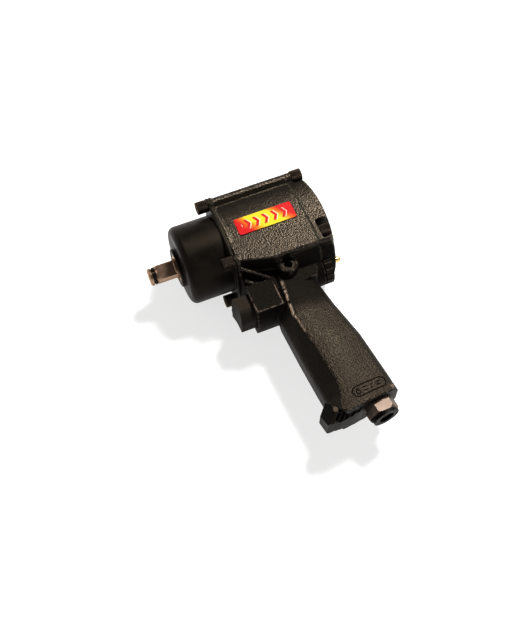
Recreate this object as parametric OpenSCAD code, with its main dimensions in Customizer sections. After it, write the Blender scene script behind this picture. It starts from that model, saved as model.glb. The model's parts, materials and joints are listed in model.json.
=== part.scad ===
// Compact 1/2 inch air impact wrench, lying on its right side.
// Everything is drawn in tool coordinates: x runs rearward from the tip of the drive, y towards
// the top of the tool and z towards its left side, all measured from the drive axis.
// at_tool() then moves it so that the floor is at z = 0 under the middle of the tool.

/* [Drive] */
// Width of the square drive across its flats
drive_af = 12.7; // [12.6:0.05:12.8]
// Length of the square part of the drive
drive_len = 14.4; // [13:0.2:16]
// Turn of the square drive about its axis at rest
drive_turn = 22; // [0:1:44]

/* [Hammer case] */
// Outer radius of the hammer case
case_r = 31.5; // [31:0.5:33]
// Distance of the case's front face from the tip of the drive
case_front = 25.5; // [25:0.5:27]
// Fillet of the case's front edge
case_fillet = 5; // [2:0.5:6]

/* [Motor housing] */
// Half width of the housing's flat-sided section
body_half = 32.6; // [32:0.2:34]
// Radius of the gentle bulge of its sides
bulge_r = 105; // [90:5:160]
// Radius of the stronger bulge of its sides above the name plate
side_bulge_r = 72; // [68:1:90]
// Radius of the lobe under the motor, about the drive axis
lobe_r = 48; // [46:0.5:50]
// Distance of each cap screw from the drive axis, along y and z
screw_off = 27.85; // [27.5:0.05:28.2]
// Radius of the motor bore
motor_bore_r = 24; // [23.5:0.1:24.2]

/* [Grip] */
// Half thickness of the grip along its front ridges
grip_half = 17.8; // [17:0.2:19]
// Half thickness of the grip near its back
grip_back_half = 13.5; // [12:0.5:15]
// Rise of the grip's crowned sides between ridge and back
grip_crown = 1.5; // [0.5:0.1:2]
// Tilt of the grip's base, in degrees
base_tilt = 6; // [4:0.5:8]

/* [Trigger] */
// Travel of the trigger
trigger_travel = 6.5; // [4:0.5:7]
// Half width of the trigger
trigger_half = 13.5; // [12:0.5:15]

/* [Air inlet] */
// Width of the inlet bushing's hexagon across its flats
inlet_af = 21; // [19:0.5:22]
// Radius of the bore for the 1/4 inch pipe thread
inlet_bore_r = 5.72; // [5.5:0.02:5.9]

/* [Reverse knob] */
// Radius of the reverse and power knob
knob_r = 15.9; // [15:0.1:16]
// Number of flutes round the knob
knob_flutes = 20; // [12:1:28]

/* [Hidden] */
$fn = 64;
cut = 1;              // how far a cutting tool runs past the face it opens
run_gap = 0.05;       // radial gap of a running fit

// overall extents, from which the origin is placed
front_x = 0;
rear_x = 147.3;
top_y = 33.5;
bottom_y = -176.6;
floor_half = 33.5;
mid_x = (front_x + rear_x) / 2;
drive_y = -(top_y + bottom_y) / 2;
drive_z = floor_half;

// hammer case and clutch, as distances along x
case_bushing_x = 33.5;
case_flange_x = 60.3;
case_rear_x = 62.4;
housing_front_x = 62.9;
lip_rear_x = 64.9;
housing_rear_x = 126.4;
cover_front_x = 126.9;
case_bore_r = 27.5;
nose_r = 15.5;
nose_len = 3;
bushing_r = 11;
anvil_r = 8;
jaw_r = 10.8;
jaw_w = 8;
cage_r = 26.5;
cage_x0 = 36.4;
cage_x1 = 60;
dog_x = [40.2, 47.8];
dog_len = 7.2;
dog_r = 20.8;
dog_bore_r = 13;
dog_lug_r = 11.7;
pin_r = 3.5;
pin_off = 20.5;
strut_r = 22.6;

// motor, as distances along x
plate_front_x = 60.9;
cylinder_x0 = 70;
cylinder_x1 = 110;
rear_plate_x1 = 117;
liner_bore_r = 17.4;
liner_shift = 1.6;
rotor_r = 15.7;
rotor_shaft_r = 6;
bearing_r = 12;
bearing_len = 6;
vane_count = 6;
vane_t = 2;
vane_h = 6.4;
motor_gap = 0.2;

// cap screws (M6)
screw_r = 3;
screw_hole_r = 3.05;
head_r = 5;
head_len = 7;
socket_af = 5;
socket_depth = 3;
washer_t = 1.6;
screw_boss_r = 4.2;
rear_seat_x = 131;

// lower part of the housing
panel_low_y = -38.4;
panel_edge = 1.5;
panel_half = 32.2;
skirt_half = 27;
knob_y = -40.5;
knob_x0 = 127.2;
knob_x1 = 133.4;
knob_shaft_r = 4;
valve_r = 9;
valve_x0 = 101;
port_x = 107;
dome_r = 98;
dome_y = -6;
plate_seat_z = 32.2;
plate_t = 0.8;
plug_x = 99;
plug_y = -43.1;
plug_face_z = 24;
plug_r = 5.25;

// trigger block and throttle
block_x0 = 62.6;
block_half = 17;
block_low_y = -69.5;
trigger_top_y = -50;
trigger_low_y = -69.4;
trigger_front_x = 49.3;
trigger_rear_x = 65.5;
throttle_y = -58.5;
stem_r = 2;
throttle_r = 6.4;
throttle_x0 = 84;
throttle_x1 = 112;

// grip: each row is [y, front, ridge, back]
grip_rows = [
    [-46, 82, 89, 115.6],
    [-80, 78.1, 86, 121.7],
    [-111, 79.5, 90.3, 128.9],
    [-141, 81.5, 93.2, 132.6],
    [-152, 82.5, 91.8, 133.8],
    [-172, 84.5, 84.5, 135.9]
];
base_x = 108.5;
base_y = -164.7;
foot_top = [81, -152.2];
foot_low = [91.3, base_height(91.3)];
passage_r = 6.5;
inlet_x = 118.6;
inlet_y = base_height(inlet_x);
inlet_len = 12;
exhaust_r = 2.6;
exhaust_z = 9.8;
exhaust_x = 90.5;
deflector_half = 13.5;
deflector_screw_r = 1;
deflector_screw_len = 7.5;
deflector_head_r = 2;
deflector_head_t = 0.9;
deflector_boss_r = 2.2;
deflector_boss_end_z = 2.3;
head_clearance = 0.1;

// Height of the grip's sloping base at a given x
function base_height(x) = base_y + (x - base_x) * tan(base_tilt);

// ---- helpers ----

// Moves tool coordinates to the model's origin
module at_tool() {
    translate([-mid_x, drive_y, drive_z]) children();
}

// Extrudes an outline drawn as (y, z) rearward from x0
module along_x(x0, len) {
    translate([x0, 0, 0]) rotate([90, 0, 90]) linear_extrude(len) children();
}

// Extrudes an outline drawn as (x, y) through the thickness of the tool
module across(half) {
    translate([0, 0, -half]) linear_extrude(2 * half) children();
}

// Round bar along x
module rod(x0, len, r) {
    translate([x0, 0, 0]) rotate([0, 90, 0]) cylinder(h = len, r = r);
}

// Round sleeve along x
module sleeve(x0, len, r_out, r_in) {
    difference() {
        rod(x0, len, r_out);
        rod(x0 - cut, len + 2 * cut, r_in);
    }
}

// Turns an outline drawn as (radius, x) about the drive axis
module turned() {
    rotate([0, 90, 0]) rotate_extrude() children();
}

// Places a child at each of the four cap screws
module at_screws() {
    for (sy = [-1, 1]) {
        for (sz = [-1, 1]) {
            translate([0, sy * screw_off, sz * screw_off]) children();
        }
    }
}

// Coil spring drawn as a stack of rings along x
module ring_spring(x0, len, r, wire_r, turns) {
    for (i = [0 : turns - 1]) {
        translate([x0 + wire_r + i * (len - 2 * wire_r) / (turns - 1), 0, 0])
            rotate([0, 90, 0])
            rotate_extrude() translate([r, 0]) circle(wire_r, $fn = 16);
    }
}

// Ball bearing with separate rings and balls
module ball_bearing(x0) {
    ball_r = 1.5;
    track_r = (bearing_r + rotor_shaft_r) / 2;
    race_t = 1.7;
    sleeve(x0, bearing_len, bearing_r, bearing_r - race_t);
    sleeve(x0, bearing_len, rotor_shaft_r + race_t, rotor_shaft_r + run_gap / 2);
    for (i = [0 : 8]) {
        rotate([i * 40, 0, 0])
            translate([x0 + bearing_len / 2, track_r, 0])
            sphere(track_r - rotor_shaft_r - race_t);
    }
}

// ---- outlines, drawn as (y, z) ----

// Bulging square of a given half width, cut off below at low_y
module bulged_square(half, low_y) {
    shift = bulge_r - half;
    intersection() {
        translate([0, -shift]) circle(bulge_r);
        translate([0, shift]) circle(bulge_r);
        translate([-shift, 0]) circle(bulge_r);
        translate([low_y, -half]) square([half - low_y, 2 * half]);
    }
}

// Round bosses for the cap screws; lower ones too if low is true
module screw_bosses(r, low) {
    for (sy = low ? [-1, 1] : [1]) {
        for (sz = [-1, 1]) {
            translate([sy * screw_off, sz * screw_off]) circle(r);
        }
    }
}

// Flange shared by the case, the gasket and the housing's front lip
module flange_outline(half) {
    flange_low_r = 80;
    flange_low_y = -half - 3;
    intersection() {
        bulged_square(half, flange_low_y);
        translate([flange_low_y + flange_low_r, 0]) circle(flange_low_r);
    }
    screw_bosses(half - screw_off - 0.4, true);
}

// Section of the housing and the cover: bulged above, flat panels and a round lobe below
module body_outline() {
    intersection() {
        bulged_square(body_half, -4);
        translate([0, -(side_bulge_r - body_half)]) circle(side_bulge_r);
        translate([0, side_bulge_r - body_half]) circle(side_bulge_r);
    }
    polygon([
        [0, body_half], [panel_low_y + panel_edge, panel_half],
        [panel_low_y, panel_half - panel_edge], [panel_low_y, panel_edge - panel_half],
        [panel_low_y + panel_edge, -panel_half], [0, -body_half]
    ]);
    screw_bosses(screw_boss_r, false);
    intersection() {
        circle(lobe_r);
        translate([-lobe_r, -skirt_half]) square([lobe_r - 20, 2 * skirt_half]);
    }
}

// ---- drive and clutch ----

module anvil() {
    groove_r = 5.2;
    pilot_r = 6.95;
    square_x = 6;
    neck_x = square_x + drive_len;
    color("rosybrown") at_tool() {
        difference() {
            union() {
                turned() polygon([
                    [0, 0], [pilot_r - 1, 0], [pilot_r, 1], [pilot_r, 2.5],
                    [groove_r, 2.5], [groove_r, square_x - 0.3], [pilot_r, square_x - 0.3],
                    [pilot_r, square_x + 1], [0, square_x + 1]
                ]);
                rotate([drive_turn, 0, 0]) intersection() {
                    translate([square_x, -drive_af / 2, -drive_af / 2])
                        cube([drive_len + 1, drive_af, drive_af]);
                    turned() polygon([
                        [0, square_x], [7.4, square_x], [8.3, square_x + 1.2],
                        [8.3, neck_x + 1], [0, neck_x + 1]
                    ]);
                }
                turned() polygon([
                    [0, neck_x], [7.2, neck_x], [anvil_r, neck_x + 0.8],
                    [anvil_r, 55.2], [5, 55.2], [5, 57.2], [0, 57.2]
                ]);
                rod(35.5, 0.8, jaw_r);
                intersection() {
                    rod(dog_x[0], 14.8, jaw_r);
                    translate([dog_x[0], -jaw_r, -jaw_w / 2]) cube([14.8, 2 * jaw_r, jaw_w]);
                }
            }
            rod(-cut, 3, 1.2);
        }
    }
}

module socket_ring() {
    color("black") at_tool() difference() {
        sleeve(3.6, 1.6, 6.85, 5.75);
        translate([3.6 - cut, -1, 4]) cube([1.6 + 2 * cut, 2, 5]);
    }
}

module socket_o_ring() {
    color("dimgray") at_tool() translate([3, 0, 0]) rotate([0, 90, 0])
        rotate_extrude() translate([5.65, 0]) circle(0.42, $fn = 24);
}

module anvil_bushing() {
    color("darkgoldenrod") at_tool() difference() {
        union() {
            rod(case_front - nose_len + 0.4, 11, bushing_r);
            rod(case_bushing_x, 1.6, 14);
        }
        rod(case_front - nose_len, 14, anvil_r + run_gap);
    }
}

module hammer_case() {
    color("dimgray") at_tool() difference() {
        union() {
            turned() union() {
                translate([0, case_front]) square([case_r - case_fillet, case_rear_x - case_front]);
                translate([0, case_front + case_fillet])
                    square([case_r, case_rear_x - case_front - case_fillet]);
                intersection() {
                    translate([case_r - case_fillet, case_front + case_fillet])
                        circle(case_fillet);
                    square([case_r + 5, 100]);
                }
                translate([0, case_front - nose_len]) square([nose_r, nose_len + 1]);
            }
            along_x(case_flange_x, case_rear_x - case_flange_x) flange_outline(floor_half);
        }
        rod(case_front - nose_len - cut, 20, bushing_r);
        rod(case_bushing_x, 40, case_bore_r);
        at_screws() rod(case_flange_x - cut, 10, screw_hole_r);
    }
}

// Cage that the rotor turns: two plates joined by struts, open between them for the dogs
module hammer_cage() {
    plate_t = 3.5;
    rear_plate_x = 55.4;
    strut_w = 26;
    hex_r = 11.15 / 2 / cos(30);
    color("slategray") at_tool() difference() {
        union() {
            rod(cage_x0, plate_t, cage_r);
            rod(rear_plate_x, cage_x1 - rear_plate_x, cage_r);
            intersection() {
                sleeve(cage_x0, cage_x1 - cage_x0, cage_r, strut_r);
                translate([cage_x0, -cage_r, -strut_w / 2])
                    cube([cage_x1 - cage_x0, 2 * cage_r, strut_w]);
            }
        }
        rod(cage_x0 - cut, plate_t + 2 * cut, jaw_r + 0.5);
        rod(rear_plate_x - cut, 3, 5 + run_gap);
        rod(cage_x1 - 3, 4, hex_r, $fn = 6);
        for (sz = [-1, 1]) {
            translate([0, 0, sz * pin_off]) rod(cage_x0 - cut, 23, pin_r);
        }
    }
}

module hammer_pins() {
    color("silver") at_tool() for (sz = [-1, 1]) {
        translate([0, 0, sz * pin_off]) rod(cage_x0 + 0.3, 21, pin_r);
    }
}

// One hammer dog, hanging on the pin at +z and clearing the pin at -z
module hammer_dog(x0) {
    lug_w = 9;
    notch_w = 11.2;
    difference() {
        union() {
            sleeve(x0, dog_len, dog_r, dog_bore_r);
            difference() {
                translate([x0, -dog_bore_r - 1, -lug_w / 2])
                    cube([dog_len, 2 * dog_bore_r + 2, lug_w]);
                rod(x0 - cut, dog_len + 2 * cut, dog_lug_r);
            }
        }
        translate([0, 0, pin_off]) rod(x0 - cut, dog_len + 2 * cut, pin_r + run_gap);
        translate([x0 - cut, -notch_w / 2, -dog_r - 4])
            cube([dog_len + 2 * cut, notch_w, dog_r + 4 - pin_off + pin_r + 0.5]);
    }
}

module hammer_dog_front() {
    color("gray") at_tool() hammer_dog(dog_x[0]);
}

module hammer_dog_rear() {
    color("gray") at_tool() rotate([180, 0, 0]) hammer_dog(dog_x[1]);
}

// ---- motor ----

module front_gasket() {
    color("darkolivegreen") at_tool() difference() {
        along_x(case_rear_x, housing_front_x - case_rear_x) flange_outline(floor_half - 0.6);
        rod(case_rear_x - cut, 3, case_bore_r);
        at_screws() rod(case_rear_x - cut, 3, screw_hole_r);
    }
}

module front_end_plate() {
    color("silver") at_tool() difference() {
        union() {
            rod(plate_front_x, housing_front_x - plate_front_x, case_bore_r - 0.2);
            rod(plate_front_x, cylinder_x0 - plate_front_x, motor_bore_r - run_gap);
        }
        rod(plate_front_x - cut, cut + 7.1, bearing_r);
        rod(plate_front_x, 10, 8.5);
        dowel_holes();
    }
}

// The dowels line up the end plates with the motor cylinder
module dowel_holes() {
    rotate([45, 0, 0]) translate([0, 21, 0]) rod(cylinder_x0 - 3, 46, 1.25);
}

module dowel_pins() {
    color("silver") at_tool() rotate([45, 0, 0]) for (x0 = [cylinder_x0 - 2.8, cylinder_x1 - 2.8]) {
        translate([0, 21, 0]) rod(x0, 5.6, 1.25);
    }
}

module front_bearing() {
    color("lightgray") at_tool() ball_bearing(plate_front_x + 1.1);
}

module rear_bearing() {
    color("lightgray") at_tool() ball_bearing(rear_plate_x1 - bearing_len);
}

module motor_cylinder() {
    port_r = 2.6;
    color("gainsboro") at_tool() difference() {
        rod(cylinder_x0, cylinder_x1 - cylinder_x0, motor_bore_r - run_gap);
        translate([0, -liner_shift, 0]) rod(cylinder_x0 - cut, 42, liner_bore_r);
        for (i = [0 : 4]) {
            translate([cylinder_x0 + 8 + i * 6, 0, 0]) rotate([90, 0, 0]) cylinder(h = 30, r = port_r);
        }
        dowel_holes();
    }
}

module rotor() {
    hex_r = 11 / 2 / cos(30);
    color("silver") at_tool() difference() {
        union() {
            rod(cylinder_x0 + motor_gap, cylinder_x1 - cylinder_x0 - 2 * motor_gap, rotor_r);
            rod(plate_front_x, 10, rotor_shaft_r);
            rod(cylinder_x1 - 2, 9.5, rotor_shaft_r);
            rod(cage_x1 - 2.6, 4, hex_r, $fn = 6);
        }
        for (i = [0 : vane_count - 1]) {
            rotate([i * 360 / vane_count + 30, 0, 0])
                translate([cylinder_x0, rotor_r - vane_h - 0.4, -vane_t / 2 - 0.05])
                cube([cylinder_x1 - cylinder_x0, vane_h + 2, vane_t + 0.1]);
        }
    }
}

module rotor_vanes() {
    vane_len = cylinder_x1 - cylinder_x0 - 2 * motor_gap - 0.2;
    color("saddlebrown") at_tool() for (i = [0 : vane_count - 1]) {
        rotate([i * 360 / vane_count + 30, 0, 0])
            translate([cylinder_x0 + motor_gap + 0.1, rotor_r - vane_h - 0.2, -vane_t / 2])
            cube([vane_len, vane_h, vane_t]);
    }
}

module rear_end_plate() {
    color("silver") at_tool() difference() {
        rod(cylinder_x1, rear_plate_x1 - cylinder_x1, motor_bore_r - run_gap);
        rod(cylinder_x1 - cut, 10, 8.5);
        rod(rear_plate_x1 - bearing_len, 10, bearing_r);
        dowel_holes();
    }
}

// ---- housing ----

module grip_slice(row) {
    nose_r = 7;
    ridge_r = 1.5;
    back_r = 8;
    translate([0, row[0], 0]) rotate([90, 0, 0]) linear_extrude(0.2, center = true) {
        for (s = [-1, 1]) {
            translate([row[1] + nose_r, s * 5]) circle(nose_r, $fn = 32);
            translate([row[2] + ridge_r, s * (grip_half - ridge_r)]) circle(ridge_r, $fn = 24);
            translate([row[3] - back_r, s * (grip_back_half - back_r)]) circle(back_r, $fn = 32);
            for (t = [0.125 : 0.125 : 0.875]) {
                side = grip_half + (grip_back_half - grip_half) * t + 4 * grip_crown * t * (1 - t);
                translate([row[2] + (row[3] - back_r - row[2]) * t, s * (side - ridge_r)])
                    circle(ridge_r, $fn = 8);
            }
        }
    }
}

module grip_solid() {
    for (i = [0 : len(grip_rows) - 2]) {
        hull() {
            grip_slice(grip_rows[i]);
            grip_slice(grip_rows[i + 1]);
        }
    }
}

// Everything under the sloping base of the grip
module below_base() {
    translate([base_x, base_y, 0]) rotate([0, 0, base_tilt])
        translate([-70, -40, -40]) cube([140, 40, 80]);
}

// Outline of the block that the trigger slides in, drawn as (y, z)
module block_outline() {
    round_r = 28;
    translate([block_low_y, -block_half]) square([24, 2 * block_half]);
    intersection() {
        translate([block_low_y + 24, 0]) circle(round_r);
        translate([block_low_y - 8, -block_half + 1]) square([20, 2 * block_half - 2]);
    }
}

// Rounded outline of the trigger, grown by gap on every side, drawn as (y, z)
module trigger_outline(gap) {
    r = 10 + gap;
    y0 = trigger_low_y - gap;
    y1 = trigger_top_y + gap;
    half = trigger_half + gap;
    translate([y0 + r, -half]) square([y1 - y0 - r, 2 * half]);
    translate([y0, -half + r]) square([y1 - y0, 2 * (half - r)]);
    for (s = [-1, 1]) {
        translate([y0 + r, s * (half - r)]) circle(r);
    }
}

// Line of the air inlet, from the grip's base upward
module along_inlet() {
    translate([inlet_x, inlet_y, 0]) rotate([0, 0, base_tilt]) rotate([-90, 0, 0]) children();
}

module motor_housing() {
    rib_r = 1.3;
    color([0.2, 0.18, 0.16]) at_tool() difference() {
        union() {
            along_x(housing_front_x, lip_rear_x - housing_front_x) flange_outline(floor_half);
            intersection() {
                along_x(housing_front_x, housing_rear_x - housing_front_x) body_outline();
                across(40) polygon([
                    [housing_front_x, 40], [housing_rear_x, 40], [housing_rear_x, -52],
                    [92, -52], [90.4, panel_low_y], [lip_rear_x, -31], [housing_front_x, -31]
                ]);
            }
            across(15.5) polygon([
                [housing_front_x, -25], [housing_front_x, -46], [66, -56], [118, -56],
                [121, -50], [121, -30]
            ]);
            translate([0, knob_y, 0]) rod(100, housing_rear_x - 100, knob_r);
            for (s = [-1, 1]) {
                for (i = [0, 1]) {
                    translate([64, -34 - 7 * i, s * (25.4 - 7 * i)])
                        rotate([0, s * 24, 0]) rotate([0, 0, -28])
                        rod(0, 25 - 4 * i, rib_r);
                }
            }
            grip_solid();
            along_x(block_x0, 22) block_outline();
            translate([plug_x, plug_y, 8]) cylinder(h = plug_face_z - 8, r = 7.4);
        }
        below_base();
        difference() {
            across(40) polygon([[66, -151], foot_top, foot_low, [foot_low[0], -190], [66, -190]]);
            deflector_screw_place() translate([0, 0, -deflector_half]) 
                cylinder(h = deflector_half - deflector_boss_end_z, r = deflector_boss_r);
        }
        deflector_screw_place() translate([0, 0, -deflector_screw_len])
            cylinder(h = deflector_screw_len + 0.5, r = deflector_screw_r);
        deflector_screw_place() cylinder(h = 6, r = deflector_head_r + head_clearance);
        rod(housing_front_x - cut, 80, motor_bore_r);
        at_screws() rod(housing_front_x - cut, 20, screw_hole_r);
        at_screws() rod(housing_rear_x - 16, 20, screw_hole_r);
        translate([0, knob_y, 0]) rod(valve_x0 - 1, 40, valve_r);
        translate([plug_x, plug_y, 15]) cylinder(h = 20, r = plug_r);
        translate([0, 0, plate_seat_z]) linear_extrude(5) plate_outline(0.1);
        // pocket for the trigger, then the stepped throttle bore
        along_x(block_x0 - cut, cut + 11) trigger_outline(0.4);
        translate([0, throttle_y, 0]) rod(70, 20, stem_r + 0.6);
        translate([0, throttle_y, 0]) rod(throttle_x0, throttle_x1 - throttle_x0, throttle_r);
        // air up the grip, across to the reverse valve and down again as exhaust
        along_inlet() translate([0, 0, -5]) cylinder(h = 112, r = passage_r);
        along_inlet() translate([0, 0, -5]) cylinder(h = 5 + 8, r = 8.2);
        translate([port_x, throttle_y + 4, 0]) rotate([-90, 0, 0]) cylinder(h = 30, r = 3);
        for (s = [-1, 1]) {
            translate([exhaust_x, -180, s * exhaust_z]) rotate([-90, 0, 0])
                cylinder(h = 162, r = exhaust_r);
        }
        detent_place() rod(housing_rear_x - 8, 9, 1.55);
        grip_pin_place() cylinder(h = 60, r = 1.6, center = true);
    }
}

module rear_gasket() {
    color("darkolivegreen") at_tool() difference() {
        along_x(housing_rear_x, cover_front_x - housing_rear_x) body_outline();
        translate([0, knob_y, 0]) rod(housing_rear_x - cut, 3, knob_r + 0.5);
        rod(housing_rear_x - cut, 3, motor_bore_r);
        at_screws() rod(housing_rear_x - cut, 3, screw_hole_r);
    }
}

module rear_cover() {
    top_notch_r = 6.6;
    low_notch_r = 9.5;
    air_r = 18.5;
    color([0.22, 0.2, 0.18]) at_tool() difference() {
        union() {
            intersection() {
                along_x(cover_front_x, 30) body_outline();
                translate([rear_x - dome_r, dome_y, 0]) sphere(dome_r, $fn = 96);
            }
            rod(rear_plate_x1, cover_front_x - rear_plate_x1 + 1, motor_bore_r - run_gap);
        }
        rod(rear_plate_x1 - cut, 20, air_r);
        at_screws() rod(cover_front_x - cut, 20, screw_hole_r);
        for (s = [-1, 1]) {
            translate([0, screw_off, s * screw_off]) rod(rear_seat_x, 30, top_notch_r);
            translate([0, -screw_off, s * screw_off]) rod(rear_seat_x, 30, low_notch_r);
        }
        translate([0, knob_y, 0]) rod(cover_front_x - cut, knob_x1 + 0.5 - cover_front_x + cut, knob_r + 0.5);
        translate([0, knob_y, 0]) rod(knob_x1, 20, knob_shaft_r + run_gap);
    }
}

// Rounded outline of the name plate, grown by gap, drawn as (x, y)
module plate_outline(gap) {
    x0 = 73 - gap;
    x1 = 120 + gap;
    y0 = -11 - gap;
    y1 = 4 + gap;
    r = 1.5;
    translate([x0 + r, y0]) square([x1 - x0 - 2 * r, y1 - y0]);
    translate([x0, y0 + r]) square([x1 - x0, y1 - y0 - 2 * r]);
    for (x = [x0 + r, x1 - r]) {
        for (y = [y0 + r, y1 - r]) {
            translate([x, y]) circle(r);
        }
    }
}

module name_plate() {
    color("red") at_tool() translate([0, 0, plate_seat_z])
        linear_extrude(plate_t) plate_outline(0);
}

module side_plug() {
    socket_r = 6 / 2 / cos(30);
    color("dimgray") at_tool() translate([plug_x, plug_y, 0]) difference() {
        translate([0, 0, 15.6]) cylinder(h = plug_face_z - 16.2, r = plug_r);
        translate([0, 0, 19]) cylinder(h = 8, r = socket_r, $fn = 6);
        translate([0, 0, 17.3]) rotate_extrude() translate([plug_r, 0]) circle(0.8, $fn = 24);
    }
}

module plug_o_ring() {
    color("black") at_tool() translate([plug_x, plug_y, 17.3])
        rotate_extrude() translate([plug_r - 0.32, 0]) circle(0.3, $fn = 24);
}

// ---- cap screws ----

module cap_screws(head_x, shank_end, dir) {
    hex_r = socket_af / 2 / cos(30);
    at_screws() difference() {
        union() {
            rod(min(head_x, head_x - dir * head_len), head_len, head_r);
            rod(min(head_x, shank_end), abs(shank_end - head_x), screw_r);
        }
        translate([dir < 0 ? head_x + head_len - socket_depth : head_x - head_len - cut, 0, 0])
            rotate([0, 90, 0]) cylinder(h = socket_depth + cut, r = hex_r, $fn = 6);
    }
}

module front_cap_screws() {
    color("saddlebrown") at_tool() cap_screws(case_flange_x - washer_t, housing_front_x + 16, 1);
}

module rear_cap_screws() {
    color("saddlebrown") at_tool() cap_screws(rear_seat_x + washer_t, housing_rear_x - 14, -1);
}

module spring_washers(x0) {
    at_screws() difference() {
        sleeve(x0, washer_t, head_r - 0.2, screw_hole_r);
        translate([x0 - cut, 0, -0.4]) cube([washer_t + 2 * cut, 6, 0.8]);
    }
}

module front_spring_washers() {
    color("dimgray") at_tool() spring_washers(case_flange_x - washer_t);
}

module rear_spring_washers() {
    color("dimgray") at_tool() spring_washers(rear_seat_x);
}

// ---- trigger and throttle ----

module trigger() {
    finger_r = 40;
    color("dimgray") at_tool() difference() {
        along_x(trigger_front_x, trigger_rear_x - trigger_front_x) trigger_outline(0);
        translate([trigger_front_x - finger_r + 2, (trigger_top_y + trigger_low_y) / 2 - 1, 0])
            cylinder(h = 60, r = finger_r, center = true, $fn = 96);
        translate([0, throttle_y, 0]) rod(trigger_rear_x - 8, 10, stem_r);
    }
}

module trigger_stem() {
    color("silver") at_tool() translate([0, throttle_y, 0])
        rod(trigger_rear_x - 7.8, throttle_x0 + 6 - trigger_rear_x + 7.8, stem_r);
}

module throttle_bushing() {
    color("goldenrod") at_tool() translate([0, throttle_y, 0]) difference() {
        rod(throttle_x0, 5, throttle_r);
        rod(throttle_x0 - cut, 8, stem_r + run_gap);
        rod(throttle_x0 + 2.5, 3, 3.4);
    }
}

module throttle_valve() {
    color("gold") at_tool() translate([0, throttle_y, 0]) {
        difference() {
            rod(throttle_x0 + 5.2, 3, 5.4);
            rod(throttle_x0 + 5, 0.8 + 0.2, stem_r);
        }
    }
}

module throttle_spring() {
    color("lightsteelblue") at_tool() translate([0, throttle_y, 0])
        ring_spring(throttle_x0 + 8.4, throttle_x1 - throttle_x0 - 12, 4, 0.45, 8);
}

module throttle_plug() {
    color("goldenrod") at_tool() translate([0, throttle_y, 0])
        sleeve(throttle_x1 - 3.2, 3.2, throttle_r, 3);
}

// ---- reverse knob ----

module reverse_knob() {
    color("black") at_tool() translate([0, knob_y, 0]) difference() {
        union() {
            rod(knob_x0, knob_x1 - knob_x0, knob_r);
            rod(knob_x1 - 1, 7.2, knob_shaft_r);
        }
        for (i = [0 : knob_flutes - 1]) {
            rotate([(i + 0.5) * 360 / knob_flutes, 0, 0]) translate([0, knob_r + 0.6, 0])
                rod(knob_x0 - cut, 10, 1.3);
        }
    }
}

module reverse_valve() {
    color("silver") at_tool() translate([0, knob_y, 0]) difference() {
        rod(valve_x0, knob_x0 - valve_x0, valve_r - run_gap);
        translate([port_x, 0, 0]) cylinder(h = 30, r = 3, center = true);
        rod(valve_x0 - cut, 16, 5);
    }
}

module knob_screw() {
    color("khaki") at_tool() translate([0, knob_y, 0]) union() {
        rod(knob_x1 + 6.2, 3.4, 2.4);
        translate([knob_x1 + 9.6, 0, 0]) sphere(2.4);
    }
}

// Place of the sprung ball that clicks into the knob's front face
module detent_place() {
    translate([0, knob_y, 12]) children();
}

module detent_ball() {
    color("silver") at_tool() detent_place() translate([housing_rear_x - 0.9, 0, 0]) sphere(1.5);
}

module detent_spring() {
    color("lightsteelblue") at_tool() detent_place()
        ring_spring(housing_rear_x - 7.9, 5.4, 1.1, 0.2, 7);
}

// ---- foot of the grip ----

module inlet_bushing() {
    hex_r = inlet_af / 2 / cos(30);
    color("rosybrown") at_tool() along_inlet() difference() {
        union() {
            translate([0, 0, -inlet_len]) intersection() {
                translate([0, 0, 2.2]) cylinder(h = inlet_len - 4.4, r = hex_r, $fn = 6);
                translate([0, 0, 2.2]) cylinder(h = inlet_len, r1 = hex_r - 1.2, r2 = hex_r + 6);
            }
            translate([0, 0, -inlet_len]) cylinder(h = inlet_len, r = 10.2);
            cylinder(h = 7.5, r = 8.15);
        }
        translate([0, 0, -inlet_len - cut]) cylinder(h = 13 + cut, r = inlet_bore_r);
        translate([0, 0, 4]) rotate_extrude() translate([7.5, -0.4]) square([1, 0.8]);
        translate([0, 0, -5]) cylinder(h = 20, r = 4.6);
    }
}

module inlet_screen() {
    color("silver") at_tool() along_inlet() difference() {
        translate([0, 0, 8.2]) cylinder(h = 0.8, r = passage_r - 0.05);
        for (ring = [1, 2]) {
            for (i = [0 : 6 * ring - 1]) {
                rotate([0, 0, i * 60 / ring]) translate([ring * 2.2, 0, 7]) cylinder(h = 3, r = 0.6);
            }
        }
    }
}

module inlet_o_ring() {
    color("black") at_tool() along_inlet() translate([0, 0, 4])
        rotate_extrude() translate([7.86, 0]) circle(0.3, $fn = 24);
}

module silencer_pad() {
    color("lightgray") at_tool() for (s = [-1, 1]) {
        translate([exhaust_x, -158, s * exhaust_z]) rotate([-90, 0, 0])
            cylinder(h = 12, r = exhaust_r - 0.1);
    }
}

// Outline of the deflector, which narrows from its full width at near to tip_half at far
module narrowing(wide, near, far, tip_half) {
    polygon([
        [wide, -deflector_half], [near, -deflector_half], [far, -tip_half],
        [far, tip_half], [near, deflector_half], [wide, deflector_half]
    ]);
}

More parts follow.
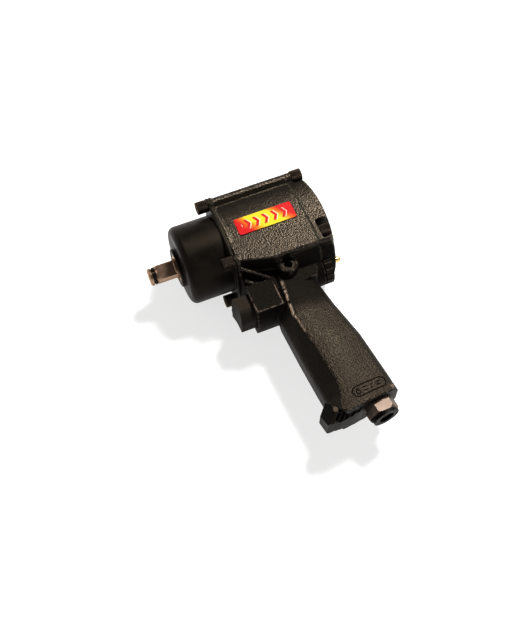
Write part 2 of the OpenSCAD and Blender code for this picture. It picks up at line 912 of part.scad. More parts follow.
module exhaust_deflector() {
    slots = 5;
    slot_w = 1.7;
    slot_h = 13;
    slot_x0 = 82;
    slot_step = 4.9;
    rear_x = 105.5;
    color([0.12, 0.12, 0.12]) at_tool() difference() {
        intersection() {
            across(deflector_half) polygon([
                foot_top, [74.6, -158.6], [76.6, -167.6], [87, -168.6], [98, -167.4],
                [rear_x, -165.6], [rear_x, base_height(rear_x)], foot_low
            ]);
            along_x(70, 40) narrowing(-150, -163.5, -170, 6);
            translate([0, -150, 0]) rotate([90, 0, 0]) linear_extrude(25) narrowing(110, 84, 73, 5);
        }
        across(11.3) polygon([
            [82.5, -158], [82.5, -164.3], [86, -164.8], [95, -164.8], [95, -156], [84.5, -156]
        ]);
        for (i = [0 : slots - 1]) {
            for (s = [0, 1]) {
                mirror([0, 0, s]) translate([slot_x0 + slot_step * i, -168 + 0.5 * i, 7.5])
                    rotate([0, 0, -50]) translate([-slot_w / 2, -slot_h / 2, 0]) cube([slot_w, slot_h, 10]);
            }
        }
        deflector_screw_place() translate([0, 0, -5]) cylinder(h = 6, r = deflector_screw_r);
    }
}

// Places of the two small screws that hold the deflector, one on each side
module deflector_screw_place() {
    for (s = [0, 1]) {
        mirror([0, 0, s]) translate([85.2, -160.6, deflector_half]) children();
    }
}

module deflector_screws() {
    color("black") at_tool() deflector_screw_place() {
        translate([0, 0, -deflector_screw_len])
            cylinder(h = deflector_screw_len + 0.1, r = deflector_screw_r);
        cylinder(h = deflector_head_t, r = deflector_head_r);
    }
}

// Place of the small cross pin at the back of the grip's foot
module grip_pin_place() {
    translate([131, -158.9, 0]) children();
}

module grip_pin() {
    color("black") at_tool() grip_pin_place() cylinder(h = 24, r = 1.6, center = true);
}

hammer_case();
anvil_bushing();
anvil();
socket_ring();
socket_o_ring();
hammer_cage();
hammer_pins();
hammer_dog_front();
hammer_dog_rear();
front_gasket();
front_end_plate();
front_bearing();
motor_cylinder();
dowel_pins();
rotor();
rotor_vanes();
rear_end_plate();
rear_bearing();
motor_housing();
rear_gasket();
rear_cover();
front_cap_screws();
front_spring_washers();
rear_cap_screws();
rear_spring_washers();
name_plate();
side_plug();
plug_o_ring();
trigger();
trigger_stem();
throttle_bushing();
throttle_valve();
throttle_spring();
throttle_plug();
reverse_knob();
reverse_valve();
knob_screw();
detent_ball();
detent_spring();
inlet_bushing();
inlet_screen();
inlet_o_ring();
silencer_pad();
exhaust_deflector();
deflector_screws();
grip_pin();
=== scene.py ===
import json
import math

import bmesh
import bpy
import numpy as np
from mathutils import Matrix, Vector
from mathutils.bvhtree import BVHTree

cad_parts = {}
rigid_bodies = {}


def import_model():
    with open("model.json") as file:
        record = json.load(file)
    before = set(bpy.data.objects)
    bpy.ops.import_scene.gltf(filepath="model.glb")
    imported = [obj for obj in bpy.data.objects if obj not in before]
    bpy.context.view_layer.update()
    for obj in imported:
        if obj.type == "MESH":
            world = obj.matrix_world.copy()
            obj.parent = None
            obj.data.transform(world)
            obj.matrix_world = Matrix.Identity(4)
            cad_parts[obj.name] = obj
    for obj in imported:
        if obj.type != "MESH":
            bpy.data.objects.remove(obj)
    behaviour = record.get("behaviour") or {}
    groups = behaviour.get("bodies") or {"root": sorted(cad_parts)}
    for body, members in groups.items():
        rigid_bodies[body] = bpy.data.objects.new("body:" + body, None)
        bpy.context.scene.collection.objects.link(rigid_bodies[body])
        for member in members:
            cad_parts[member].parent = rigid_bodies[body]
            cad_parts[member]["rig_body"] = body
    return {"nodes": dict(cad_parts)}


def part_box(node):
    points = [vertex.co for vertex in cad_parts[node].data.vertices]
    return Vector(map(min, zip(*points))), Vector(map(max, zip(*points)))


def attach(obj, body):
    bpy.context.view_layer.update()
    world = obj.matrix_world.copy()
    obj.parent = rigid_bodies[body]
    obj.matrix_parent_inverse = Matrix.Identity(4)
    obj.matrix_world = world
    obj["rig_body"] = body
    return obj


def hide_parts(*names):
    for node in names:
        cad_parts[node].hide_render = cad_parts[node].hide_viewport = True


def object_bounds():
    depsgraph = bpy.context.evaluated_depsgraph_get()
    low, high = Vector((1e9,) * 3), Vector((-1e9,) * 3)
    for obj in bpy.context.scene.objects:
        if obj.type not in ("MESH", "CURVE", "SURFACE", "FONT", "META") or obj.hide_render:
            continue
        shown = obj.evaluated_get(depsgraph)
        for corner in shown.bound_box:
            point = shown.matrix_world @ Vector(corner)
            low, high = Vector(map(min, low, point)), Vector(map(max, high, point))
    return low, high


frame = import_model()
cad_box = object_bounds()

MM = 0.001

# The drive axis runs along +X through the middle of the anvil. Places on the tool are given in
# millimetres from the tip of the drive: x rearward, y to the tool's top, z to its left side, up here.
anvil_low, anvil_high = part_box("anvil")
TIP = Vector((anvil_low.x, (anvil_low.y + anvil_high.y) / 2, (anvil_low.z + anvil_high.z) / 2))


def at_tool(x, y, z):
    """The place in the row frame, in metres, of a point on the tool in millimetres."""
    return TIP + Vector((x, y, z)) * MM


# ---------------------------------------------------------------- materials

# The brownish cast of the tool's dark finishes where they shine
WARM = (1.0, 0.82, 0.62, 1.0)


class Finish:
    """One procedural material, built node by node. Each method returns an output socket."""

    def __init__(self, name, color, roughness, metallic=0.0, specular=0.5, **sockets):
        self.material = bpy.data.materials.new(name)
        self.material.use_nodes = True
        self.tree = self.material.node_tree
        self.shader = self.tree.nodes["Principled BSDF"]
        self.material.diffuse_color = (*color, 1)
        self.drive("Base Color", (*color, 1))
        self.drive("Roughness", roughness)
        self.drive("Metallic", metallic)
        self.drive("Specular IOR Level", specular)
        for socket, value in sockets.items():
            self.drive(socket.replace("_", " ").title(), value)
        self.place = self.node("ShaderNodeTexCoord").outputs["Object"]

    def node(self, kind, inputs=(), **settings):
        """Adds a node with these settings, and sets or links its inputs by name or index."""
        made = self.tree.nodes.new(kind)
        for key, value in settings.items():
            setattr(made, key, value)
        for key, value in dict(inputs).items():
            self.connect(made.inputs[key], value)
        return made

    def connect(self, socket, value):
        if isinstance(value, bpy.types.NodeSocket):
            self.tree.links.new(value, socket)
        else:
            socket.default_value = value

    def drive(self, socket, value):
        self.connect(self.shader.inputs[socket], value)

    def noise(self, scale, detail=3.0, roughness=0.55, place=None, distortion=0.0):
        inputs = {"Vector": place or self.place, "Scale": scale, "Detail": detail,
                  "Roughness": roughness, "Distortion": distortion}
        return self.node("ShaderNodeTexNoise", inputs).outputs["Fac"]

    def cells(self, scale, smoothness=0.6, place=None):
        inputs = {"Vector": place or self.place, "Scale": scale, "Smoothness": smoothness}
        return self.node("ShaderNodeTexVoronoi", inputs, feature="SMOOTH_F1").outputs["Distance"]

    def stretched(self, x, y, z):
        """The object's coordinates scaled differently along each axis."""
        return self.node("ShaderNodeMapping", {"Vector": self.place, "Scale": (x, y, z)}).outputs[0]

    def warped(self, amount, scale):
        """The object's coordinates pushed about by noise, in metres."""
        cloud = self.node("ShaderNodeTexNoise", {"Vector": self.place, "Scale": scale}).outputs["Color"]
        centred = self.node("ShaderNodeVectorMath", {0: cloud, 1: (0.5, 0.5, 0.5)}, operation="SUBTRACT")
        push = self.node("ShaderNodeVectorMath", {0: centred.outputs[0], "Scale": amount}, operation="SCALE")
        moved = self.node("ShaderNodeVectorMath", {0: self.place, 1: push.outputs[0]}, operation="ADD")
        return moved.outputs[0]

    def math(self, operation, a, b=0.5, clamp=False):
        return self.node("ShaderNodeMath", {0: a, 1: b}, operation=operation, use_clamp=clamp).outputs[0]

    def span(self, value, low, high, to_low=0.0, to_high=1.0):
        """value's range low to high, mapped to to_low to to_high and clamped."""
        inputs = {"Value": value, "From Min": low, "From Max": high, "To Min": to_low, "To Max": to_high}
        return self.node("ShaderNodeMapRange", inputs, interpolation_type="SMOOTHSTEP").outputs["Result"]

    def mix(self, factor, a, b):
        """Colour a where factor is 0, b where it is 1."""
        made = self.node("ShaderNodeMix", data_type="RGBA")
        self.connect(made.inputs["Factor"], factor)
        for socket, value in (("A", a), ("B", b)):
            found = [s for s in made.inputs if s.name == socket and s.type == "RGBA"][0]
            self.connect(found, value if isinstance(value, bpy.types.NodeSocket) else (*value, 1))
        return [s for s in made.outputs if s.type == "RGBA"][0]

    def wear(self):
        """The piece's own measure of how worn each point is, from 0 to 1."""
        return self.node("ShaderNodeAttribute", attribute_name="wear").outputs["Fac"]

    def bump(self, height, distance, strength=1.0, over=None):
        inputs = {"Height": height, "Distance": distance, "Strength": strength}
        if over is not None:
            inputs["Normal"] = over
        normal = self.node("ShaderNodeBump", inputs).outputs[0]
        self.drive("Normal", normal)
        return normal


def wrinkle_coat(name, color, crest, worn):
    """Black wrinkle paint on a casting: millimetre wrinkles, paler on their crests and worn on edges."""
    f = Finish(name, color, 0.5, specular=0.4, specular_tint=WARM)
    place = f.warped(0.0012, 500)
    wrinkle = f.math("SUBTRACT", 1.0, f.cells(860, 0.5, place))
    fine = f.noise(2600, 2)
    height = f.math("ADD", wrinkle, f.math("MULTIPLY", fine, 0.25))
    patchy = f.noise(45, 4)
    body = f.mix(f.span(wrinkle, 0.45, 0.95), color, crest)
    flecks = f.span(f.noise(420, 4), 0.42, 0.66, 0, 0.6)
    rubbed = f.math("MULTIPLY", f.span(f.wear(), 0.55, 1.0), flecks, True)
    # Bare metal colour: real wear on the grip's ridge, and at a quarter strength a painted highlight on the
    # trigger block's edges.
    worn_ridge_and_block_sheen = f.node("ShaderNodeAttribute", attribute_name="worn_ridge_and_block_sheen").outputs["Fac"]
    worn_ridge_and_block_sheen = f.math("MULTIPLY", worn_ridge_and_block_sheen, f.span(f.noise(300, 4), 0.36, 0.56), True)
    coated = f.mix(rubbed, f.mix(f.span(patchy, 0.35, 0.7), body, color), worn)
    f.drive("Base Color", f.mix(worn_ridge_and_block_sheen, coated, (0.42, 0.32, 0.25)))
    f.drive("Metallic", worn_ridge_and_block_sheen)
    dull = f.node("ShaderNodeAttribute", attribute_name="dull").outputs["Fac"]
    smooth = f.span(f.math("ADD", patchy, f.math("MULTIPLY", wrinkle, 0.3)), 0.3, 1.0, 0.42, 0.3)
    f.drive("Roughness", f.math("ADD", smooth, f.math("MULTIPLY", dull, 0.2)))
    f.drive("Specular IOR Level", f.span(dull, 0, 1, 0.38, 0.07))
    f.bump(height, 0.0003, 0.9)
    return f.material


def satin_finish(name, color, pale, worn, roughness, metallic):
    """Blackened steel: cloudy satin, bare and brownish on its edges. Returns the finish and its normal."""
    f = Finish(name, color, roughness, metallic, specular=0.14, specular_tint=WARM)
    cloud = f.noise(60, 5, 0.6)
    fleck = f.noise(900, 3)
    tone = f.mix(f.span(cloud, 0.35, 0.7), color, pale)
    rubbed = f.math("MULTIPLY", f.span(f.wear(), 0.2, 0.8), f.span(f.noise(520, 4), 0.35, 0.62), True)
    f.drive("Base Color", f.mix(rubbed, f.mix(f.span(fleck, 0.62, 0.8, 0, 0.5), tone, worn), worn))
    f.drive("Roughness", f.span(cloud, 0.3, 0.75, roughness - 0.07, roughness + 0.08))
    return f, f.bump(f.noise(1400, 3), 0.00005, 0.5)


def satin_oxide(name, color, pale, worn, roughness, metallic, turned=0.0):
    """Blackened steel; turned adds fine lathe lines of that depth."""
    f, normal = satin_finish(name, color, pale, worn, roughness, metallic)
    if turned:
        lines = f.noise(1.0, 1, place=f.stretched(2600, 30, 30))
        f.bump(lines, turned, 0.5, over=normal)
    return f.material


def cap_screw_oxide(name, color, pale, worn):
    """Blackened cap screws, with the fine knurl round their heads."""
    f, normal = satin_finish(name, color, pale, worn, 0.42, 0.75)
    low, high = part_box("front_cap_screws")
    head_width = 10 * MM
    teeth = 36.0
    spacing = ((high - low).y - head_width) / 2
    split = f.node("ShaderNodeSeparateXYZ", {0: f.place})
    across = []
    for axis in (1, 2):
        reach = f.math("ABSOLUTE", f.math("SUBTRACT", split.outputs[axis], TIP[axis]))
        across.append(f.math("SUBTRACT", reach, spacing))
    turn = f.math("MULTIPLY", f.math("ARCTAN2", *across), teeth)
    f.bump(f.math("SINE", turn), 0.00018, 0.8, over=normal)
    return f.material


def inlet_oxide(name, color, dark, depth):
    """The browned inlet bushing, black over the last depth millimetres of its lower end."""
    f = Finish(name, color, 0.42, metallic=1.0)
    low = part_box("inlet_bushing")[0]
    height = f.node("ShaderNodeSeparateXYZ", {0: f.place}).outputs[1]
    cloud = f.noise(120, 4)
    tone = f.mix(f.span(cloud, 0.35, 0.7), color, tuple(c * 1.5 for c in color))
    end = f.span(height, low.y + depth * MM, low.y + (depth + 0.4) * MM, 1.0, 0.0)
    f.drive("Base Color", f.mix(end, tone, dark))
    f.drive("Roughness", f.span(cloud, 0.3, 0.7, 0.5, 0.62))
    f.bump(f.noise(1400, 3), 0.00005, 0.5)
    return f.material


def bare_metal(name, color, dark, roughness, brushed=(2400, 60, 60)):
    """Uncoated metal with fine grinding lines along one direction and dull stains."""
    f = Finish(name, color, roughness, metallic=1.0)
    stain = f.noise(90, 5, 0.65)
    f.drive("Base Color", f.mix(f.span(stain, 0.42, 0.72), color, dark))
    f.drive("Roughness", f.span(stain, 0.3, 0.75, roughness - 0.06, roughness + 0.12))
    lines = f.noise(1.0, 2, place=f.stretched(*brushed))
    f.bump(f.math("ADD", lines, f.math("MULTIPLY", f.noise(1100, 2), 0.4)), 0.00004, 0.5)
    return f.material


def moulded(name, color, pale, roughness, grain=1500, depth=0.00006):
    """Moulded plastic, rubber or fibre: a fine even grain with slightly rubbed edges."""
    f = Finish(name, color, roughness, specular=0.14, specular_tint=WARM)
    grit = f.noise(grain, 3)
    rubbed = f.math("MULTIPLY", f.span(f.wear(), 0.2, 0.9), f.span(f.noise(380, 3), 0.3, 0.6, 0.2, 1.0), True)
    f.drive("Base Color", f.mix(rubbed, f.mix(f.span(grit, 0.3, 0.8, 0, 0.5), color, pale), pale))
    f.drive("Roughness", f.span(f.noise(70, 3), 0.3, 0.7, roughness - 0.05, roughness + 0.07))
    f.bump(grit, depth, 0.6)
    return f.material


def felt(name, color, pale):
    """Pressed felt: crossed fibres with a soft nap."""
    f = Finish(name, color, 0.95, specular=0.1, sheen_weight=0.4, sheen_roughness=0.5)
    fibres = f.math("ADD", f.noise(1.0, 3, place=f.stretched(3500, 900, 900)),
                    f.noise(1.0, 3, place=f.stretched(900, 3500, 1200)))
    f.drive("Base Color", f.mix(f.span(fibres, 0.7, 1.3), color, pale))
    f.bump(fibres, 0.0004, 0.9)
    return f.material


def printed_plate(name):
    """The label: glossy red at both ends, yellow in the middle, with a plain row of chevrons."""
    low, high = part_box("name_plate")
    centre, half = (low + high) / 2, (high - low) / 2
    red, orange = (0.44, 0.005, 0.006), (0.52, 0.1, 0.004)
    yellow, pale = (0.56, 0.46, 0.02), (0.62, 0.56, 0.46)
    f = Finish(name, red, 0.5, specular=0.12)
    offset = f.node("ShaderNodeVectorMath", {0: f.place, 1: centre}, operation="SUBTRACT").outputs[0]
    scaled = f.node("ShaderNodeVectorMath", {0: offset, 1: (1 / half.x, 1 / half.y, 0)}, operation="MULTIPLY")
    split = f.node("ShaderNodeSeparateXYZ", {0: scaled.outputs[0]})
    along, across = split.outputs[0], split.outputs[1]
    cloud = f.math("MULTIPLY", f.math("SUBTRACT", f.noise(70, 2), 0.5), 0.5)
    slanted = f.math("ADD", f.math("ADD", along, f.math("MULTIPLY", across, 0.22)), cloud)
    middle = f.math("SUBTRACT", 1.0, f.math("ABSOLUTE", slanted))
    ground = f.mix(f.span(middle, 0.36, 0.66), f.mix(f.span(middle, 0.22, 0.42), red, orange), yellow)
    # A chevron is where the distance along, plus the distance from the middle line, falls on a stripe.
    slant = f.math("MULTIPLY", f.math("ABSOLUTE", across), 0.55)
    point = f.math("ADD", f.math("MULTIPLY", along, 3.2), slant)
    stripe = f.math("FRACT", point)
    on = f.math("MULTIPLY", f.span(stripe, 0.0, 0.06), f.span(stripe, 0.4, 0.34))
    inside = f.math("MULTIPLY", f.span(f.math("ABSOLUTE", along), 0.84, 0.8),
                    f.span(f.math("ABSOLUTE", across), 0.62, 0.56))
    edge = f.math("MULTIPLY", f.span(stripe, 0.34, 0.4), f.span(stripe, 0.52, 0.46))
    drawn = f.mix(f.math("MULTIPLY", on, inside), ground, (0.42, 0.01, 0.012))
    f.drive("Base Color", f.mix(f.math("MULTIPLY", f.math("MULTIPLY", edge, inside), 0.7), drawn, pale))
    f.drive("Roughness", f.span(f.noise(240, 3), 0.3, 0.7, 0.42, 0.52))
    return f.material


def paper_floor(name):
    """The pale studio floor."""
    f = Finish(name, (0.4, 0.4, 0.4), 0.9, specular=0.05)
    f.drive("Base Color", f.mix(f.span(f.noise(3, 2), 0.3, 0.7), (0.39, 0.39, 0.39), (0.41, 0.41, 0.41)))
    f.drive("Emission Color", (1, 1, 1, 1))
    f.drive("Emission Strength", 0.72)
    return f.material


MATERIALS = {
    "casting": wrinkle_coat("wrinkle_coat", (0.005, 0.0043, 0.0035), (0.012, 0.01, 0.008),
                            (0.1, 0.085, 0.07)),
    "case": satin_oxide("case_phosphate", (0.006, 0.0048, 0.0038), (0.011, 0.0088, 0.007),
                        (0.03, 0.024, 0.019),
                        0.42, 0.0, turned=0.00002),
    "anvil_steel": satin_oxide("anvil_oxide", (0.3, 0.2, 0.145), (0.42, 0.3, 0.23),
                               (0.5, 0.4, 0.33), 0.36, 1.0),
    "screw_steel": cap_screw_oxide("screw_oxide", (0.02, 0.0155, 0.012), (0.04, 0.03, 0.024),
                                   (0.12, 0.095, 0.075)),
    "ground_steel": bare_metal("ground_steel", (0.52, 0.52, 0.53), (0.3, 0.29, 0.28), 0.26),
    "bronze": bare_metal("oiled_bronze", (0.46, 0.27, 0.1), (0.22, 0.12, 0.05), 0.32),
    "brass": bare_metal("pale_brass", (0.78, 0.6, 0.3), (0.5, 0.36, 0.15), 0.26),
    "rubber": moulded("black_rubber", (0.011, 0.011, 0.011), (0.03, 0.03, 0.03), 0.6),
    "gasket": moulded("fibre_gasket", (0.05, 0.05, 0.034), (0.1, 0.1, 0.07), 0.75, 900),
    "vane": moulded("vane_resin", (0.12, 0.05, 0.022), (0.22, 0.11, 0.05), 0.55, 700),
    "trigger": moulded("trigger_plastic", (0.012, 0.01, 0.008),
                       (0.03, 0.026, 0.022), 0.56, 1200, 0.00004),
    "black_plastic": moulded("black_plastic", (0.0045, 0.0042, 0.004), (0.016, 0.014, 0.013), 0.42),
    "knob": satin_oxide("knob_black", (0.006, 0.005, 0.0045), (0.012, 0.01, 0.009),
                        (0.06, 0.05, 0.042), 0.42, 0.0),
    "inlet_steel": inlet_oxide("inlet_oxide", (0.14, 0.11, 0.092), (0.012, 0.011, 0.01), 3.4),
    "plate": printed_plate("printed_plate"),
    "felt": felt("pressed_felt", (0.33, 0.32, 0.3), (0.5, 0.49, 0.46)),
    "spring_steel": bare_metal("spring_wire", (0.42, 0.42, 0.44),
                               (0.22, 0.22, 0.23), 0.3, (900, 900, 900)),
}


# ---------------------------------------------------------------- mesh tools


def mesh_object(name, mesh):
    piece = bpy.data.objects.new(name, mesh)
    bpy.context.scene.collection.objects.link(piece)
    return piece


def copy_of(node, name):
    """A new object with the CAD node's mesh, its corners welded and its old normals dropped."""
    mesh = frame["nodes"][node].data.copy()
    bm = bmesh.new()
    bm.from_mesh(mesh)
    bmesh.ops.remove_doubles(bm, verts=bm.verts, dist=0.002 * MM)
    bm.to_mesh(mesh)
    bm.free()
    if "custom_normal" in mesh.attributes:
        mesh.attributes.remove(mesh.attributes["custom_normal"])
    mesh.materials.clear()
    mesh.name = name
    return mesh_object(name, mesh)


def settle(piece):
    """Applies the piece's modifiers to its mesh."""
    bpy.context.view_layer.update()
    made = bpy.data.meshes.new_from_object(piece.evaluated_get(bpy.context.evaluated_depsgraph_get()))
    piece.modifiers.clear()
    old, piece.data = piece.data, made
    bpy.data.meshes.remove(old)
    made.name = piece.name


def paint(piece, slot, body, *nodes):
    """Gives the piece its material and slot, and lets it ride its body and stand for its CAD nodes."""
    piece.data.materials.clear()
    piece.data.materials.append(MATERIALS[slot])
    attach(piece, body)
    if nodes:
        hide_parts(*nodes)
    return piece


def set_values(mesh, name, values, domain="POINT"):
    layer = mesh.attributes.get(name) or mesh.attributes.new(name, "FLOAT", domain)
    layer.data.foreach_set("value", np.asarray(values, np.float32))


def set_wear(mesh, values, domain="POINT"):
    set_values(mesh, "wear", values, domain)


def edge_softened(piece, width, segments=3, angle=32):
    """Rounds the piece's sharp edges by width millimetres and marks the rounded strips as worn."""
    piece.data.materials.clear()
    for material in (MATERIALS["casting"], MATERIALS["casting"]):
        piece.data.materials.append(material)
    bevel = piece.modifiers.new("edges", "BEVEL")
    bevel.width = width * MM
    bevel.segments = segments
    bevel.limit_method = "ANGLE"
    bevel.angle_limit = math.radians(angle)
    bevel.miter_outer = "MITER_ARC"
    bevel.material = 1
    normals = piece.modifiers.new("normals", "WEIGHTED_NORMAL")
    normals.keep_sharp = True
    piece.data.polygons.foreach_set("use_smooth", [True] * len(piece.data.polygons))
    piece.data.set_sharp_from_angle(angle=math.radians(60))
    settle(piece)
    index = np.zeros(len(piece.data.polygons), np.int32)
    piece.data.polygons.foreach_get("material_index", index)
    set_wear(piece.data, index, "FACE")
    piece.data.polygons.foreach_set("material_index", np.zeros_like(index))
    return piece


def points_of(mesh):
    co = np.zeros(len(mesh.vertices) * 3)
    mesh.vertices.foreach_get("co", co)
    return co.reshape(-1, 3)


def put_points(mesh, co):
    mesh.vertices.foreach_set("co", co.astype(np.float32).ravel())
    mesh.update()


class Neighbours:
    """Averages over each vertex's neighbours."""

    def __init__(self, mesh):
        edges = np.zeros(len(mesh.edges) * 2, np.int32)
        mesh.edges.foreach_get("vertices", edges)
        self.a, self.b = edges.reshape(-1, 2).T
        self.n = len(mesh.vertices)
        self.count = np.maximum(self.sums(np.ones(self.n)), 1)

    def sums(self, values):
        return (np.bincount(self.a, values[self.b], self.n) + np.bincount(self.b, values[self.a], self.n))

    def mean(self, values):
        if values.ndim == 1:
            return self.sums(values) / self.count
        return np.stack([self.sums(values[:, i]) / self.count for i in range(values.shape[1])], 1)


def smoothed(co, near, rounds, weight=1.0, step=0.5, back=-0.52):
    """Smooths the points over their neighbours without shrinking them, as much as weight says."""
    weight = np.broadcast_to(weight, len(co))[:, None]
    for _ in range(rounds):
        for amount in (step, back):
            co = co + (near.mean(co) - co) * amount * weight
    return co


def convexity(mesh, near, co, rounds=3):
    """How much each point stands out from its surroundings, in millimetres."""
    normals = np.zeros(len(co) * 3)
    mesh.vertices.foreach_get("normal", normals)
    wide = co
    for _ in range(rounds):
        wide = near.mean(wide)
    return ((co - wide) * normals.reshape(-1, 3)).sum(1) / MM


def remeshed(piece, voxel):
    """Turns the piece into an even mesh of voxel millimetres, so that its edges can soften."""
    remesh = piece.modifiers.new("even", "REMESH")
    remesh.mode = "VOXEL"
    remesh.voxel_size = voxel * MM
    settle(piece)


def lightened(piece, ratio):
    thin = piece.modifiers.new("thin", "DECIMATE")
    thin.ratio = ratio
    settle(piece)
    piece.data.polygons.foreach_set("use_smooth", [True] * len(piece.data.polygons))


# ---------------------------------------------------------------- castings


def clear_bore(piece, node, gap):
    """Keeps the casting's wall that many millimetres outside the round part that turns in it."""
    low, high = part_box(node)
    middle = [(low.y + high.y) / 2, (low.z + high.z) / 2]
    radius = max(high.y - low.y, high.z - low.z) / 2
    co = points_of(piece.data)
    off = co[:, 1:] - middle
    reach = np.hypot(off[:, 0], off[:, 1])
    wall = (co[:, 0] > low.x - 0.3 * MM) & (co[:, 0] < high.x) & (reach > radius / 2)
    wall &= reach < radius + gap * MM
    co[wall, 1:] = middle + off[wall] * ((radius + gap * MM) / reach[wall])[:, None]
    put_points(piece.data, co)


def casting(node, name, voxel, rounds, weight_of=None, ratio=0.5):
    """A cast part: the CAD solid with softened edges and inner corners."""
    piece = copy_of(node, name)
    remeshed(piece, voxel)
    near = Neighbours(piece.data)
    co = smoothed(points_of(piece.data), near, rounds)
    if weight_of:
        for extra, weight in weight_of(co):
            co = smoothed(co, near, extra, weight)
    put_points(piece.data, co)
    bulge = convexity(piece.data, near, co)
    set_wear(piece.data, np.clip((bulge - 0.02) / 0.06, 0, 1))
    y = (co[:, 1] - TIP.y) / MM
    fade = np.clip((y + 95) / 25, 0.5, 1)
    set_values(piece.data, "dull", np.clip((-38.2 - y) / 2, 0, 1) * fade)
    along = np.clip((y + 108) / 30, 0, 1) * np.clip((-50 - y) / 4, 0, 1)
    x, z = (co[:, 0] - TIP.x) / MM, (co[:, 2] - TIP.z) / MM
    # Full bare metal along the grip's ridge is real wear; the quarter strength on the trigger block's edges,
    # ahead of x 84.8, is a painted highlight along those edges.
    ridge_and_block_sheen_mask = np.where(x < 84.8, 0.25, np.where(x < 100, 1, 0)) * (np.abs(z) > 15.5)
    set_values(piece.data, "worn_ridge_and_block_sheen", np.clip((bulge - 0.02) / 0.05, 0, 1) * along * ridge_and_block_sheen_mask)
    lightened(piece, ratio)
    return paint(piece, "casting", "housing", node)


housing = casting("motor_housing", "housing_casting", 0.7, 5, ratio=0.45)
clear_bore(housing, "reverse_valve", 0.22)
casting("rear_cover", "rear_cover_casting", 0.6, 4, ratio=0.5)


# ---------------------------------------------------------------- relief on the foot of the grip


def tube(points, ups, radius, closed, sides=8):
    """A bead along the points with rounded ends: its corners and faces. ups point away from the surface."""
    count = len(points)
    corners, rings = [], []
    for i, (point, up) in enumerate(zip(points, ups)):
        ahead = points[(i + 1) % count] if closed or i < count - 1 else point
        behind = points[i - 1] if closed or i > 0 else point
        side = (ahead - behind).normalized().cross(up).normalized()
        near_end = min(i, count - 1 - i)
        size = radius if closed or near_end > 1 else radius * (0.35, 0.8)[near_end]
        rings.append(range(len(corners), len(corners) + sides))
        for k in range(sides):
            angle = 2 * math.pi * k / sides
            corners.append(point + (side * math.cos(angle) + up * math.sin(angle)) * size)
    faces = []
    for i in range(count if closed else count - 1):
        a, b = rings[i], rings[(i + 1) % count]
        faces += [(a[k], a[(k + 1) % sides], b[(k + 1) % sides], b[k]) for k in range(sides)]
    if not closed:
        faces += [tuple(reversed(rings[0])), tuple(rings[-1])]
    return corners, faces


def stadium(cx, cy, half_len, r, steps=18):
    """A rounded bar's outline around (cx, cy), as (along, across) pairs."""
    sides = []
    for end in (1, -1):
        for k in range(steps + 1):
            angle = math.pi * (k / steps - 0.5) + (0 if end > 0 else math.pi)
            sides.append((cx + end * half_len + r * math.cos(angle), cy + r * math.sin(angle)))
    return resampled(sides, 0.7, True)


def resampled(path, step, closed):
    """The path's points again, about step millimetres apart."""
    path = np.array(path + path[:1] if closed else path)
    lengths = np.r_[0, np.cumsum(np.hypot(*np.diff(path, axis=0).T))]
    count = max(3, round(lengths[-1] / step))
    at = np.linspace(0, lengths[-1], count, endpoint=not closed)
    return [(np.interp(d, lengths, path[:, 0]), np.interp(d, lengths, path[:, 1])) for d in at]


def drop(cx, cy, r, steps=28):
    """A drop's outline with its tip towards the tool's top."""
    outline = []
    for k in range(steps):
        angle = 2 * math.pi * k / steps
        tall = 1 + 0.9 * max(0, math.sin(angle)) ** 3
        width = r * (1 - 0.35 * max(0, math.sin(angle)))
        outline.append((cx + width * math.cos(angle), cy + r * math.sin(angle) * tall))
    return resampled(outline, 0.45, True)


def grip_relief(name, centre, tilt):
    """A raised rounded frame with a drop and plain bars inside, lying on the grip's left side."""
    mesh = housing.data
    polygons = [tuple(p.vertices) for p in mesh.polygons]
    tree = BVHTree.FromPolygons([v.co.copy() for v in mesh.vertices], polygons)
    strokes = [(stadium(0, 0, 9.6, 3.9), 0.55, True), (drop(-9.2, -0.5, 1.5), 0.45, True)]
    for start, end in ((-5.4, -1.2), (0.6, 3.2), (5.0, 9.8)):
        for across in (-1.15, 1.15):
            strokes.append((resampled([(start, across), (end, across)], 0.6, False), 0.5, False))
    corners, faces = [], []
    for path, radius, closed in strokes:
        points, ups = [], []
        for along, across in path:
            x = centre[0] + along * math.cos(tilt) - across * math.sin(tilt)
            y = centre[1] + along * math.sin(tilt) + across * math.cos(tilt)
            place, normal, _, _ = tree.ray_cast(at_tool(x, y, 40), Vector((0, 0, -1)))
            points.append(place - normal * radius * 0.15 * MM)
            ups.append(normal)
        more, joined = tube(points, ups, radius * MM, closed)
        faces += [tuple(len(corners) + i for i in face) for face in joined]
        corners += more
    mesh = bpy.data.meshes.new(name)
    mesh.from_pydata(corners, [], faces)
    mesh.polygons.foreach_set("use_smooth", [True] * len(mesh.polygons))
    mesh.update()
    set_values(mesh, "dull", np.ones(len(corners)))
    return paint(mesh_object(name, mesh), "casting", "housing")


grip_relief("grip_relief", (114.2, -154.4), math.radians(6))

# ---------------------------------------------------------------- machined and moulded parts

# node: (slot, edge rounding in millimetres)
SOFTENED = {
    "hammer_case": ("case", 0.5),
    "anvil": ("anvil_steel", 0.25),
    "trigger": ("trigger", 0.7),
    "exhaust_deflector": ("black_plastic", 0.5),
    "inlet_bushing": ("inlet_steel", 0.3),
    "reverse_knob": ("knob", 0.3),
    "side_plug": ("knob", 0.25),
    "name_plate": ("plate", 0.2),
    "front_spring_washers": ("screw_steel", 0.12),
    "rear_spring_washers": ("screw_steel", 0.12),
    "front_cap_screws": ("screw_steel", 0.3),
    "rear_cap_screws": ("screw_steel", 0.3),
    "deflector_screws": ("screw_steel", 0.15),
    "grip_pin": ("screw_steel", 0.2),
    "knob_screw": ("brass", 0.15),
}
for node, (slot, width) in SOFTENED.items():
    piece = edge_softened(copy_of(node, node + "_finished"), width)
    paint(piece, slot, frame["nodes"][node]["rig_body"], node)

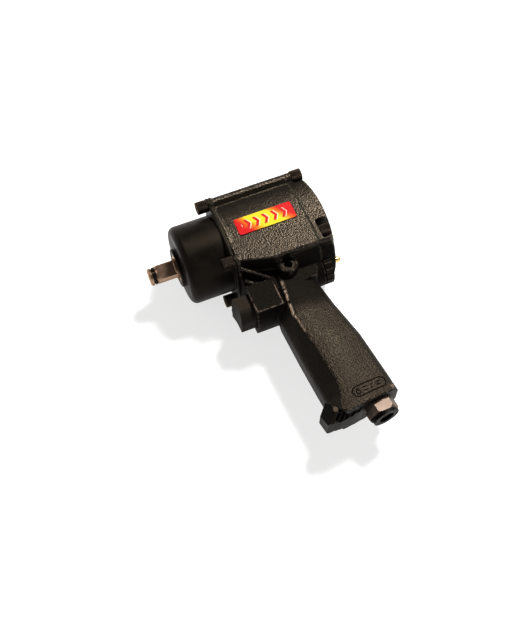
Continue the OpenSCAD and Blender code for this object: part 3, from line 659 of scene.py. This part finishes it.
# ---------------------------------------------------------------- CAD nodes that stay

for node, shape in frame["nodes"].items():
    if shape.hide_render:
        continue
    slot = shape.data.materials[0].name.split(".")[0]
    for i in range(len(shape.material_slots)):
        shape.material_slots[i].material = MATERIALS[slot]


# ---------------------------------------------------------------- stage, light and camera


def stage_plane(name, half, z):
    mesh = bpy.data.meshes.new(name)
    corners = [(-half, -half, z), (half, -half, z), (half, half, z), (-half, half, z)]
    mesh.from_pydata(corners, [], [(0, 1, 2, 3)])
    mesh.materials.append(paper_floor("paper"))
    piece = mesh_object(name, mesh)


def area_light(name, direction, distance, size, power, color=(1, 1, 1)):
    """A square softbox that far from the tool's middle, facing it."""
    light = bpy.data.lights.new(name, "AREA")
    light.shape = "SQUARE"
    light.size = size
    light.energy = power
    light.color = color
    lamp = bpy.data.objects.new(name, light)
    bpy.context.scene.collection.objects.link(lamp)
    middle = (cad_box[0] + cad_box[1]) / 2
    toward = Vector(direction).normalized()
    lamp.location = middle + toward * distance
    lamp.rotation_mode = "QUATERNION"
    lamp.rotation_quaternion = toward.to_track_quat("Z", "Y")
    lamp.visible_camera = False


def studio_world(zenith, horizon):
    """A dim sky over a pale band along the horizon."""
    world = bpy.data.worlds.new("studio")
    world.use_nodes = True
    bpy.context.scene.world = world
    tree = world.node_tree
    sky = tree.nodes["Background"]
    place = tree.nodes.new("ShaderNodeTexCoord")
    split = tree.nodes.new("ShaderNodeSeparateXYZ")
    ramp = tree.nodes.new("ShaderNodeMapRange")
    ramp.interpolation_type = "SMOOTHSTEP"
    ramp.inputs["From Min"].default_value = 0.03
    ramp.inputs["From Max"].default_value = 0.5
    ramp.inputs["To Min"].default_value = horizon
    ramp.inputs["To Max"].default_value = zenith
    tree.links.new(place.outputs["Generated"], split.inputs[0])
    tree.links.new(split.outputs["Z"], ramp.inputs["Value"])
    tree.links.new(ramp.outputs["Result"], sky.inputs["Strength"])
    sky.inputs["Color"].default_value = (1, 0.99, 0.97, 1)


stage_plane("floor", 3.0, cad_box[0].z)
studio_world(0.16, 0.8)
area_light("key", (0.45, 0.33, 0.83), 1.6, 0.28, 46, (1, 0.98, 0.95))
area_light("fill", (-0.7, -0.5, 0.6), 1.6, 1.0, 2)
for name, direction in (("handle_side", (0.15, -0.97, 0.2)), ("cover_side", (0.97, 0.15, 0.2)),
                        ("drive_side", (-0.75, 0.65, 0.3))):
    area_light(name, direction, 1.8, 1.1, 4)

# The camera looks down on the tool's left side from the front, a little to the handle's side.
azimuth, elevation = math.radians(-22.5), math.radians(61.5)
distance = 0.7
aim = (0.0904, -0.0243)
focal = 52.28

back = Vector((math.sin(azimuth) * math.cos(elevation), -math.cos(azimuth) * math.cos(elevation),
               math.sin(elevation)))
right = Vector((math.cos(azimuth), math.sin(azimuth), 0))
up = back.cross(right)
camera = bpy.data.objects.new("camera", bpy.data.cameras.new("camera"))
bpy.context.scene.collection.objects.link(camera)
camera.data.sensor_width = 36
camera.data.lens = focal
camera.data.clip_start, camera.data.clip_end = 0.01, 20
camera.location = TIP + right * aim[0] + up * aim[1] + back * distance
camera.rotation_mode = "QUATERNION"
camera.rotation_quaternion = back.to_track_quat("Z", "Y")
bpy.context.scene.camera = camera
bpy.context.scene.view_settings.view_transform = "Standard"
bpy.context.scene.view_settings.gamma = 0.82
